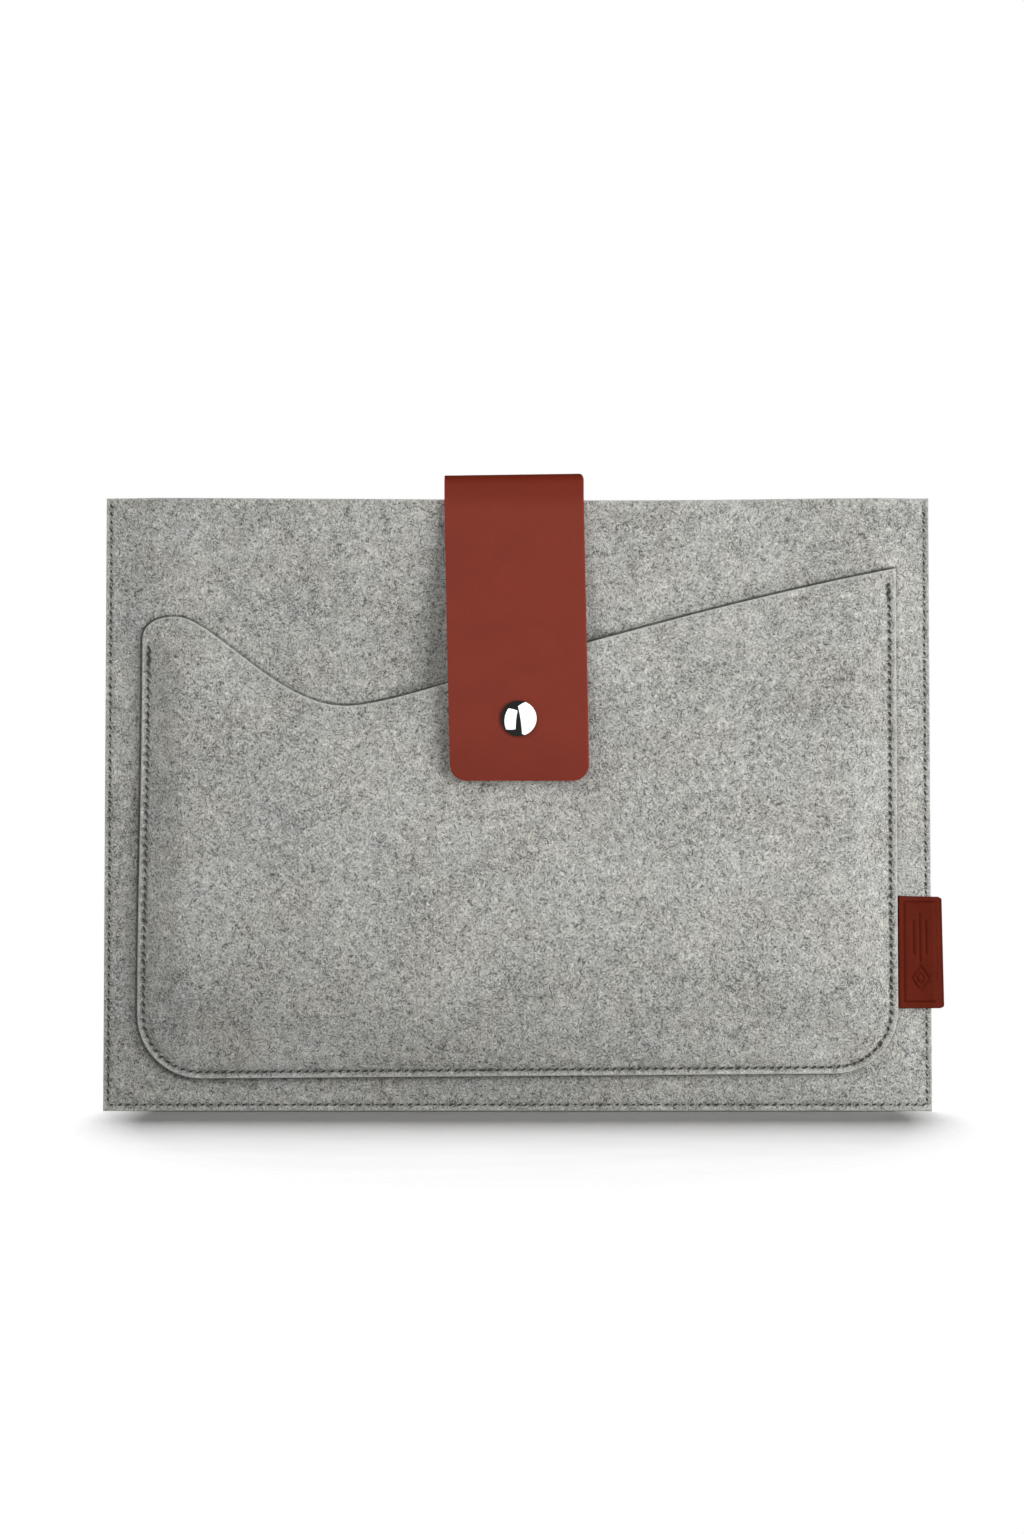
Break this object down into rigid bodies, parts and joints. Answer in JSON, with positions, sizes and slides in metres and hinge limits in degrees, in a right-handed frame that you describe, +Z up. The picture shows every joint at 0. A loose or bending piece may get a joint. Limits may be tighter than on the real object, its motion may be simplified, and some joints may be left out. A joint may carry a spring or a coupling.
{
  "type": "laptop sleeve",
  "caption": "Grey wool-felt laptop sleeve, open at the top, with a wavy-edged front pocket and a leather strap that folds over the mouth and closes with a press stud.",
  "frame": {"origin": "middle of the bottom of the whole object's box; the sleeve stands on its lower edge at z = 0", "axes": "+X to the wearer's right seen from the front, along the width; -Y is the front, with the pocket and strap end; +Z up towards the open mouth"},
  "size_m": [0.3548, 0.038, 0.27],
  "materials": {
    "felt": "matte pressed wool felt, light grey melange",
    "strap_leather": "smooth reddish-brown leather, fine grain",
    "label_leather": "smooth dark red-brown leather",
    "polished_cap": "mirror polished",
    "snap_metal": "nickel plated",
    "spring_wire": "drawn spring wire",
    "sewing_thread": "dark grey polyester sewing thread"
  },
  "bodies": {
    "sleeve": {"back_panel": "felt", "front_panel": "felt", "pocket_panel": "felt", "strap_back_leg": "strap_leather", "snap_stud": "snap_metal", "stud_post": "snap_metal", "side_label": "label_leather", "body_seam_needle_thread": "sewing_thread", "body_seam_bobbin_thread": "sewing_thread", "pocket_seam_needle_thread": "sewing_thread", "pocket_seam_bobbin_thread": "sewing_thread", "strap_seam_needle_thread": "sewing_thread", "strap_seam_bobbin_thread": "sewing_thread"},
    "crown": {"strap_crown": "strap_leather"},
    "flap": {"strap_flap": "strap_leather", "snap_cap_shell": "polished_cap", "snap_cap_post": "snap_metal", "snap_socket": "snap_metal", "socket_ring_spring": "spring_wire"}
  },
  "joints": [
    {"name": "strap_back_fold", "type": "hinge", "parent": "sleeve", "child": "crown", "pos_m": [-0.00443, 0.01607, 0.26707], "axis": [-1, 0, 0], "range_deg": [0, 90]},
    {"name": "strap_front_fold", "type": "hinge", "parent": "crown", "child": "flap", "pos_m": [-0.00443, -0.00097, 0.26707], "axis": [-1, 0, 0], "range_deg": [0, 90]}
  ],
  "couplings": [
    {"joint": "strap_front_fold", "follows": "strap_back_fold", "ratio": 1}
  ]
}
